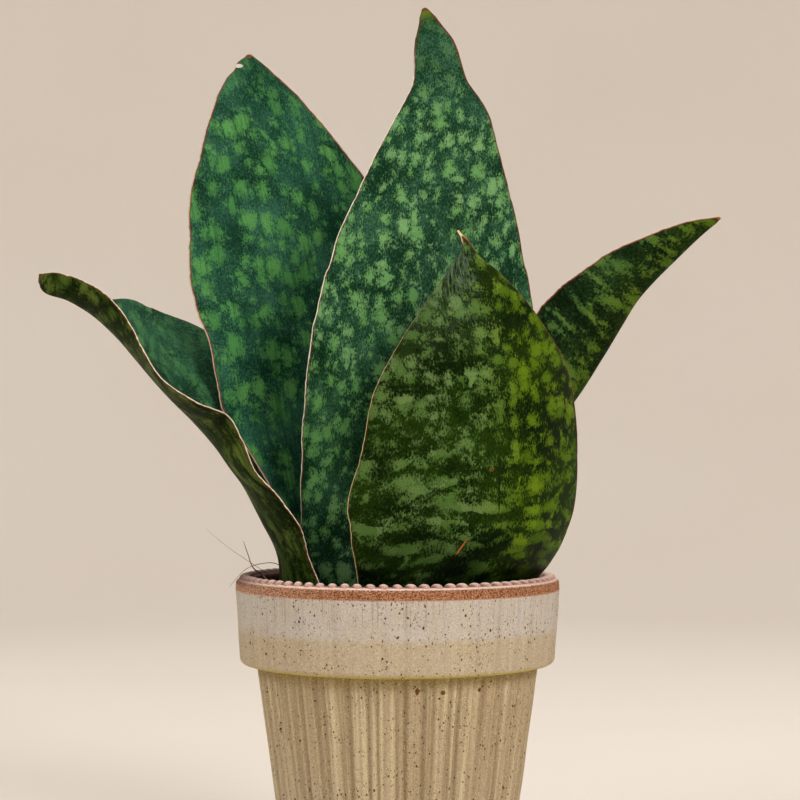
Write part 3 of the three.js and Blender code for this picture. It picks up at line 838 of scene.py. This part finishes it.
def pot_body(material):
    """The pot's wall and floor: fluted outside below the collar, and slightly uneven all over."""
    outline = pot_outline()
    radius, height = outline[:, :1], outline[:, 1:]
    angle = turns(POT_COLUMNS)[None]
    outside = np.arange(len(outline))[:, None] < np.argmax(outline[:, 1] > COLLAR_BOTTOM - 0.01)
    share = np.clip((height - FOOT_HEIGHT) / FLUTE_RUN_OUT, 0, 1) * outside * (radius > BASE_RADIUS)
    share = share * np.clip((COLLAR_BOTTOM - height) / 1.5, 0, 1)
    depth = share * flute_depth(np.arange(POT_COLUMNS) / POT_COLUMNS, np.random.default_rng(7))
    spot = round_points(radius, height, angle)
    uneven = 0.28 * value_noise(spot / (30, 30, 18), 5) + 0.1 * value_noise(spot / (7, 7, 30), 6)
    live = np.clip((radius - 20) / 20, 0, 1) * (height > 0.5) * np.clip((height - 1) / 6, 0, 1)
    points = round_points(radius - depth + uneven * live, height, angle)
    faces = grid_faces(len(outline), POT_COLUMNS)
    vectors = {"flute": values_at(depth.shape, depth, 0, 0)}
    return new_piece("pot_shell", points, faces, material, ("pot",), vectors)


def cut_drains(piece):
    """Cuts the drainage holes through the pot's floor."""
    points = []
    faces = []
    for k in range(DRAIN_COUNT):
        angle = 2 * pi * (k + 0.5) / DRAIN_COUNT
        middle = round_points(DRAIN_RING, 0, angle)
        levels = (-5.0, FLOOR_THICKNESS + 5.0)
        rings = [round_points(DRAIN_RADIUS, level, turns(DRAIN_SIDES)) for level in levels]
        points.append(np.concatenate(rings) + middle)
        tube_faces = capped(2, DRAIN_SIDES)
        faces += [[corner + 2 * DRAIN_SIDES * k for corner in face] for face in tube_faces]
    cutter = new_object("drain_cutter", np.concatenate(points), faces)
    cut = piece.modifiers.new("drains", "BOOLEAN")
    cut.operation = "DIFFERENCE"
    cut.solver = "EXACT"
    cut.object = cutter
    shape = bpy.data.meshes.new_from_object(piece.evaluated_get(bpy.context.evaluated_depsgraph_get()))
    piece.modifiers.remove(cut)
    piece.data = shape
    bpy.data.objects.remove(cutter)


def spun(points, angle):
    """Points turned about the Z axis."""
    c, s = cos(angle), sin(angle)
    return points @ np.array([[c, s, 0], [-s, c, 0], [0, 0, 1]])


def bead_ring(material):
    """The beads round the rim, each a little different."""
    rng = np.random.default_rng(11)
    tilt = np.linspace(0, pi * 0.62, BEAD_ROWS)[:, None]
    ball = round_points(np.sin(tilt), np.cos(tilt), turns(BEAD_COLUMNS)[None])
    points = []
    faces = []
    for k in range(BEAD_COUNT):
        angle = 2 * pi * k / BEAD_COUNT + rng.uniform(-0.003, 0.003)
        grown = ball * np.array(BEAD_SIZE) * rng.uniform(0.93, 1.04, 3)
        grown = grown * (1 + 0.03 * value_noise(grown / 2.1 + 17 * k, 3)[..., None])
        bead = spun(grown, angle + rng.uniform(0.38, 0.55))
        middle = round_points(BEAD_RING_RADIUS, RIM_HEIGHT - BEAD_SINK, angle)
        points.append((bead + middle).reshape(-1, 3))
        faces.append(grid_faces(BEAD_ROWS, BEAD_COLUMNS, first=k * BEAD_ROWS * BEAD_COLUMNS))
    flank = np.tile(values_at(ball.shape[:2], ball[..., 1], 0, 0), (BEAD_COUNT, 1))
    new_piece("pot_rim_beads", np.concatenate(points), np.concatenate(faces)[:, ::-1], material,
              (), {"flank": flank})


def slip_colour(g, place, around, z, depth):
    """Cream slip: grey-white high on the collar, yellower low on it, and buff on the fluted body, with
    painted shade in the flutes' grooves and under the collar.
    """
    grain = g.noise(place, 1.25, 3.0, 0.7)
    fine = g.noise(place, 2.1, 2.0, 0.6)
    cloud = g.noise(place, 0.045, 3.0, 0.55)
    brush = g.noise(around, (24.0, 24.0, 0.006), 4.0, 0.6)
    scratch = g.noise(around, (110.0, 110.0, 0.03), 2.0)
    collar = g.mix(g.step(z, 132.5, 138.5), (169, 154, 130), (177, 170, 163))
    body = g.mix(g.step(z, 20.0, 112.0), (168, 149, 121), (160, 141, 109))
    up = g.minus(z, COLLAR_BOTTOM)
    below = g.step(up, -0.4, 0.1, 1.0, 0.3)
    # Painted shadow on the body just below the collar's overhang.
    collar_shadow = g.times(g.fall(up, -0.2, 0.1, 0.8), g.step(up, -9.8, -1.3))
    lip = g.times(g.fall(up, 0.6, 2.2, 0.95), g.step(up, -0.3, 0.1))
    slip = g.over(
        g.mix(g.step(up, -0.2, 0.1), body, collar),
        (g.rise(cloud, 0.35, 0.7, 0.3), (166, 144, 112)),
        (g.times(below, g.rise(brush, 0.49, 0.66, 0.75)), (196, 182, 146)),
        (g.times(below, g.fall(brush, 0.34, 0.49, 0.6)), (134, 114, 80)),
        # Painted shade: the flutes' grooves darkened by their depth.
        (g.rise(depth, 0.2, 1.3, 0.9), (120, 98, 66)),
        # Painted shadow under the collar.
        (collar_shadow, (134, 112, 52)),
        (lip, (176, 154, 58)),
        (g.times(g.rise(scratch, 0.58, 0.66, 0.5), g.step(z, 136.0, 148.0)), (126, 108, 88)),
        (g.rise(grain, 0.53, 0.66, 0.4), (132, 106, 76)),
        (g.fall(grain, 0.33, 0.46, 0.45), (222, 210, 182)),
        (g.rise(fine, 0.56, 0.7, 0.3), (228, 216, 190)),
    )
    return slip, grain, brush


def pot_specks(g, place, colour):
    """Brown specks of four sizes, a little longer than wide and gathered in places."""
    gather = g.step(g.noise(place, 0.06, 2.0), 0.35, 0.65, 0.65, 1.15)
    jagged = g.moved(place, g.scaled(g.noise(place, 1.1, 2.0, output="Color"), (0.8, 0.8, 0.8)))
    longer = g.scaled(jagged, (1.0, 1.0, 0.75))
    pits = 0.0
    for cell, reach, tint, strength in SPECKS:
        distance, _ = g.cells(g.scaled(longer, (1 / cell, 1 / cell, 1 / cell)))
        near = g.times(gather, reach)
        spot = g.fall(g.minus(distance, near), -0.35 * reach, 0.1 * reach, strength)
        colour = g.mix(spot, colour, tint)
        pits = g.math("MAXIMUM", pits, spot)
    return colour, pits


def damp_and_shaded_side(g, x, y):
    """Where the rim is darker at the back left: partly damp clay and partly painted shade."""
    return g.times(g.fall(x, -66.0, -40.0), g.rise(y, -72.0, -8.0, 0.75))


def bare_clay(g, place, x, y, z, grain, wall, ring):
    """Unglazed red clay: streaked round the rim, with a painted highlight along the band's top edge and a
    paler line along its foot, painted shade between the beads, and dark inside the wall.
    """
    streak = g.noise(place, (0.45, 0.45, 2.2), 3.0, 0.65)
    fine = g.noise(place, 2.3, 2.0, 0.6)
    clay = g.mix(g.step(grain, 0.4, 0.58), (90, 46, 20), (180, 126, 90))
    up = g.minus(z, RIM_HEIGHT)
    rough_height = g.plus(z, g.minus(grain, 0.5), 1.6)
    # Painted shade on the rim's top in the gaps between the beads.
    shade_between_beads = g.times(g.fall(ring, 85.6, 87.0, 0.7), g.step(up, -1.5, -0.8))
    chalk = g.times(g.fall(x, -84.0, -30.0, 0.8), g.step(g.noise(place, 1.6, 2.0, 0.6), 0.54, 0.6))
    # Partly painted shade: the rim darker at the back left.
    damp_and_shade = g.times(damp_and_shaded_side(g, x, y), g.step(up, -5.0, -1.0))
    return g.over(
        clay,
        (g.rise(streak, 0.5, 0.62, 0.75), (84, 40, 20)),
        (g.rise(fine, 0.6, 0.7, 0.85), (216, 166, 134)),
        (g.fall(fine, 0.3, 0.4, 0.8), (62, 30, 18)),
        # Painted highlight along the band's rounded top edge.
        (g.rise(rough_height, RIM_HEIGHT - 1.5, RIM_HEIGHT - 0.7, 0.9), (240, 212, 198)),
        (g.fall(rough_height, BAND_BOTTOM + 0.1, BAND_BOTTOM + 0.7, 0.25), (224, 186, 168)),
        (shade_between_beads, (112, 70, 58)),
        (chalk, (226, 196, 172)),
        (damp_and_shade, DAMP_AND_SHADED_CLAY),
        (g.times(wall, g.fall(up, -3.0, -0.5, 0.92)), (46, 28, 20)),
    )


def pot_material():
    """Cream slip with brown specks over clay, bare and grainy at the rim and inside."""
    g = Graph("pot_clay")
    place = g.millimetres()
    x, y, z = g.parts(place)
    depth = g.parts(g.attribute("flute"))[0]
    ring = g.math("SQRT", g.plus(g.times(x, x), g.times(y, y)))
    around = g.add("CombineXYZ", {"X": g.math("DIVIDE", x, ring), "Y": g.math("DIVIDE", y, ring), "Z": z})
    slip, grain, brush = slip_colour(g, place, around, z, depth)
    slip, pits = pot_specks(g, place, slip)
    slip = g.marked(slip, RUST_SPOTS, g.minus(grain, 0.5))
    wall = g.fall(g.minus(ring, g.plus(WALL_LINE_FOOT, z, WALL_LINE_SLOPE)), -1.0, 0.0)
    uneven = g.times(g.swing(place, 0.9, 3.0, 0.65), g.step(x, -92.0, -30.0, 6.5, 0.9))
    band = g.step(g.plus(z, uneven), BAND_BOTTOM - 0.25, BAND_BOTTOM + 0.25)
    bare = g.math("MAXIMUM", g.math("MAXIMUM", band, wall), g.fall(z, 0.4, 1.4))
    colour = g.mix(bare, slip, bare_clay(g, place, x, y, z, grain, wall, ring))
    relief = g.plus(g.times(grain, 0.7), brush, 0.7)
    relief = g.times(g.plus(relief, pits, -0.5), g.step(bare, 0.0, 1.0, 0.45, 1.0))
    rough = g.step(bare, 0.0, 1.0, 0.72, 0.92)
    return g.surface(colour, rough, 0.25, g.bump(relief, 0.35, 0.8))


def bead_material():
    """Bare pinkish clay, paler on top, with painted shade on each bead's flanks where the beads meet."""
    g = Graph("bead_clay")
    place = g.millimetres()
    x, y, z = g.parts(place)
    flank = g.math("ABSOLUTE", g.parts(g.attribute("flank"))[0])
    grain = g.noise(place, 1.5, 3.0, 0.65)
    # Painted shade: each bead darker on its flanks, towards the gaps between beads.
    flank_shade = g.rise(g.plus(flank, g.minus(grain, 0.5), 0.3), 0.6, 0.95, 0.6)
    clay = g.over(
        g.mix(g.step(grain, 0.3, 0.7), (158, 118, 106), (208, 172, 158)),
        (g.step(g.plus(z, grain), RIM_HEIGHT + 1.2, RIM_HEIGHT + 2.2), (230, 200, 188)),
        (flank_shade, (110, 70, 60)),
        # Partly painted shade: the beads darker at the back left.
        (damp_and_shaded_side(g, x, y), DAMP_AND_SHADED_CLAY),
    )
    return g.surface(clay, 0.88, 0.25, g.bump(grain, 0.3, 0.8))


cut_drains(pot_body(pot_material()))
bead_ring(bead_material())


# Soil

def soil_height(x, y):
    """The height of the crowned and lumpy soil at a place."""
    share = np.hypot(x, y) / RIM_INNER_RADIUS
    lumps = np.sin(0.19 * x + 1.1) * np.cos(0.23 * y - 0.4) + 0.6 * np.sin(0.41 * x - 0.33 * y)
    return SOIL_EDGE_HEIGHT + SOIL_CROWN * (1 - share**2) + 0.78 * lumps


def soil_material():
    """Dark crumbly earth, with brown bark and a few pale grains picked out by each crumb's own values."""
    g = Graph("potting_mix")
    place = g.millimetres()
    bark, pale, _ = g.parts(g.attribute("crumb"))
    coarse = g.noise(place, 0.5, 4.0, 0.65)
    fine = g.noise(place, 2.2, 3.0, 0.7)
    colour = g.over(
        g.mix(g.step(coarse, 0.35, 0.65), (34, 20, 12), (84, 52, 32)),
        (g.rise(bark, 0.3, 0.8, 0.8), (118, 72, 42)),
        (g.step(pale, 0.9, 0.93), (206, 196, 180)),
        (g.rise(fine, 0.55, 0.75, 0.5), (20, 12, 8)),
    )
    return g.surface(colour, 0.95, 0.2, g.bump(g.plus(coarse, fine), 0.6, 0.9))


def soil_bed(material):
    """A closed body of soil with an uneven top."""
    angle = turns(SOIL_COLUMNS)
    radii = np.linspace(SOIL_RADIUS, SOIL_MIDDLE, SOIL_ROWS)[:, None]
    flat = round_points(radii, 0, angle)
    relief = 1.3 * value_noise(flat / 6.5, 21) + 0.8 * value_noise(flat / 2.6, 22)
    relief = relief + 0.4 * value_noise(flat / 1.3, 23)
    height = soil_height(flat[..., 0], flat[..., 1]) + relief - 0.8
    outline = [(SOIL_MIDDLE, SOIL_FOOT), (CAVITY_FLOOR_RADIUS - SOIL_CLEARANCE, SOIL_FOOT),
               (CAVITY_SHOULDER_RADIUS - SOIL_CLEARANCE, COLLAR_BOTTOM)]
    walls = [round_points(radius, level, angle) for radius, level in outline]
    points = np.concatenate([np.stack(walls), round_points(radii, height, angle)])
    faces = capped(len(points), SOIL_COLUMNS)
    new_piece("soil_bed", points, faces, material, ("soil",), {"crumb": np.zeros_like(points)})


def crumb_ball():
    """The points and triangles of a small round stone, before it is made uneven: twenty triangles, each
    cut in four."""
    golden = (1 + sqrt(5)) / 2
    pairs = [(near, far) for far in (golden, -golden) for near in (-1, 1)]
    corners = [(a, b, 0) for a, b in pairs] + [(0, a, b) for a, b in pairs] + [(b, 0, a) for a, b in pairs]
    points = list(unit(np.array(corners)))
    triangles = []
    found = {}
    for a, b, c in combinations(range(len(corners)), 3):
        if min(points[a] @ points[b], points[b] @ points[c], points[c] @ points[a]) < 0:
            continue
        if np.linalg.det([points[a], points[b], points[c]]) < 0:
            b, c = c, b
        for ends in ((a, b), (b, c), (c, a)):
            if frozenset(ends) not in found:
                found[frozenset(ends)] = len(points)
                points.append(unit(points[ends[0]] + points[ends[1]]))
        ab, bc, ca = (found[frozenset(ends)] for ends in ((a, b), (b, c), (c, a)))
        triangles += [(a, ab, ca), (b, bc, ab), (c, ca, bc), (ab, bc, ca)]
    return np.array(points), np.array(triangles)


def crumbs(material):
    """Loose crumbs, bark chips and a few pale grains over the soil."""
    rng = np.random.default_rng(31)
    ball, triangles = crumb_ball()
    points = []
    tones = []
    for k in range(CRUMB_COUNT):
        radius = CRUMB_SPREAD * sqrt(rng.uniform(0, 1))
        angle = rng.uniform(0, 2 * pi)
        x, y = radius * cos(angle), radius * sin(angle)
        size = 0.6 + 1.7 * rng.uniform(0, 1) ** 3
        shape = size * np.array([rng.uniform(0.8, 1.6), rng.uniform(0.7, 1.1), rng.uniform(0.45, 0.8)])
        lumps = 1 + 0.22 * value_noise(ball * 1.6 + 13.7 * k, 41)[:, None]
        spin, lean = rng.uniform(0, 2 * pi), rng.uniform(-0.5, 0.5)
        c, s = cos(lean), sin(lean)
        leaning = ball * lumps * shape @ np.array([[c, 0, -s], [0, 1, 0], [s, 0, c]])
        points.append(spun(leaning, spin) + (x, y, float(soil_height(x, y)) - 0.3 + 0.4 * size))
        tones.append(np.tile([rng.uniform(0, 1), rng.uniform(0, 1), 0], (len(ball), 1)))
    faces = np.concatenate([triangles + len(ball) * k for k in range(CRUMB_COUNT)])
    vectors = {"crumb": np.concatenate(tones)}
    new_piece("soil_crumbs", np.concatenate(points), faces, material, (), vectors)


def tube(route, thickness, sides, steps):
    """A thin tapering tube along a smooth route: its points and faces."""
    line = rail(route, np.linspace(0, 1, steps))
    way = unit(np.gradient(line, axis=0))
    across = unit(np.cross(way, np.array([0.31, 0.83, 0.46])))
    other = np.cross(way, across)
    radius = thickness / 2 * (1 - 0.75 * np.linspace(0, 1, steps) ** 1.5)
    angle = turns(sides)[None, :, None]
    ring = across[:, None] * np.cos(angle) + other[:, None] * np.sin(angle)
    points = (line[:, None] + radius[:, None, None] * ring).reshape(-1, 3)
    return points, capped(steps, sides)


def fibre_material():
    g = Graph("dry_fibre")
    grain = g.noise(g.millimetres(), 0.25, 3.0, 0.6)
    colour = g.mix(g.step(grain, 0.4, 0.66), (54, 30, 16), (140, 96, 60))
    return g.surface(colour, 0.7, 0.3)


# Dry fibres that stand up from the soil and lean over the rim at the left, each a route and a thickness
TALL_FIBRES = [
    ([(-60, -4, 149), (-67, -5, 156), (-74, -6, 163.5), (-80, -6, 168.5), (-83, -5, 176),
      (-85.5, -4, 183)], 1.0),
    ([(-52, 12, 149), (-60, 6, 162), (-67, 0, 170), (-76, -5, 170.5), (-84, -8, 167.5), (-90, -10, 161.5),
      (-92.5, -12, 158)], 0.5),
    ([(-58, -10, 149), (-70, -14, 164), (-84, -16, 174), (-95, -18, 182), (-105, -20, 191)], 0.3),
]


def low_fibre(rng):
    """A short curved fibre that lies on the soil: its route and thickness."""
    radius = FIBRE_START_RADIUS * sqrt(rng.uniform(0, 1))
    angle = rng.uniform(0, 2 * pi)
    way = rng.uniform(0, 2 * pi)
    bend = rng.uniform(-0.25, 0.25)
    start = radius * np.array([cos(angle), sin(angle)])
    route = []
    for k in range(5):
        spot = start + FIBRE_STEP * k * np.array([cos(way + bend * k), sin(way + bend * k)])
        spot *= min(1.0, FIBRE_END_RADIUS / max(np.hypot(*spot), 1e-6))
        route.append((*spot, float(soil_height(*spot)) + 0.6 + 1.6 * sin(k * 0.8)))
    return route, rng.uniform(0.25, 0.6)


def fibres(material):
    """The tall fibres, and the low ones scattered over the soil."""
    rng = np.random.default_rng(51)
    tubes = [tube(route, thickness, 8, 70) for route, thickness in TALL_FIBRES]
    tubes += [tube(*low_fibre(rng), 5, 14) for _ in range(FIBRE_COUNT)]
    faces = []
    total = 0
    for points, sides in tubes:
        faces += [[corner + total for corner in face] for face in sides]
        total += len(points)
    new_piece("soil_fibres", np.concatenate([points for points, _ in tubes]), faces, material)


potting_mix = soil_material()
soil_bed(potting_mix)
crumbs(potting_mix)
fibres(fibre_material())


def rootstock_material():
    g = Graph("rootstock_skin")
    place = g.millimetres()
    rings = g.noise(place, (0.06, 0.06, 0.5), 3.0, 0.6)
    colour = g.mix(g.step(rings, 0.35, 0.65), (150, 98, 56), (206, 158, 104))
    return g.surface(colour, 0.8, 0.5, g.bump(g.noise(place, 0.8, 3.0), 0.5, 0.8))


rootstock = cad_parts["rootstock"]
rootstock.data.materials.clear()
rootstock.data.materials.append(rootstock_material())


# Stage, lights and camera

def stage_material():
    g = Graph("pale_floor")
    colour = g.mix(g.step(g.noise(g.place(), 1.2, 2.0), 0.3, 0.7), (240, 231, 221), (243, 235, 226))
    return g.surface(colour, 0.9, 0.2)


def stage():
    """A pale floor that curves up all round into a plain wall."""
    outline = [(radius, 0.0) for radius in (1.0, 500.0, 1000.0, FLOOR_RADIUS)]
    for turn in np.linspace(0.06, pi / 2, 22):
        outline.append((FLOOR_RADIUS * (1 + sin(turn)), FLOOR_RADIUS * (1 - cos(turn))))
    outline += [(2 * FLOOR_RADIUS, 0.65 * WALL_HEIGHT), (2 * FLOOR_RADIUS, WALL_HEIGHT)]
    radius, height = np.array(outline).T[..., None]
    points = round_points(radius, height, turns(STAGE_SIDES)[None])
    floor = new_object("floor", points, grid_faces(len(outline), STAGE_SIDES))
    floor.data.materials.append(stage_material())
    floor.data.shade_smooth()


def lamp(name, place, aim_height, size, power, colour):
    """A round lamp, in metres and watts, aimed at a height above the middle of the pot."""
    light = bpy.data.lights.new(name, "AREA")
    light.shape = "DISK"
    light.size = size
    light.energy = power
    light.color = colour
    lit = bpy.data.objects.new(name, light)
    lit.location = place
    lit.rotation_euler = (Vector((0, 0, aim_height)) - Vector(place)).to_track_quat("-Z", "Y").to_euler()
    scene.collection.objects.link(lit)


stage()
lamp("key", (1.5, -1.7, 1.6), 0.22, 1.1, 35, (1.0, 0.98, 0.955))
lamp("sheen", (-1.5, -0.9, 1.7), 0.25, 1.0, 15, (0.93, 0.98, 1.0))
lamp("front", (-0.35, -2.1, 0.75), 0.25, 0.9, 4, (1.0, 0.99, 0.97))
lamp("top", (0.1, 0.5, 2.2), 0.3, 1.2, 12, (1.0, 0.99, 0.97))

scene.world = bpy.data.worlds.new("studio")
scene.world.use_nodes = True
sky = scene.world.node_tree.nodes["Background"].inputs
sky["Color"].default_value = (1.0, 0.985, 0.965, 1.0)
sky["Strength"].default_value = 0.35
scene.view_settings.view_transform = "Standard"

camera = bpy.data.objects.new("camera", bpy.data.cameras.new("camera"))
camera.data.sensor_width = SENSOR_WIDTH
camera.data.lens = CAMERA_LENS
camera.data.clip_start = 0.05
camera.data.clip_end = 20.0
camera.location = Vector(CAMERA_PLACE) * MM
camera.rotation_euler = (pi / 2 + CAMERA_PITCH, 0, 0)
scene.collection.objects.link(camera)
scene.camera = camera
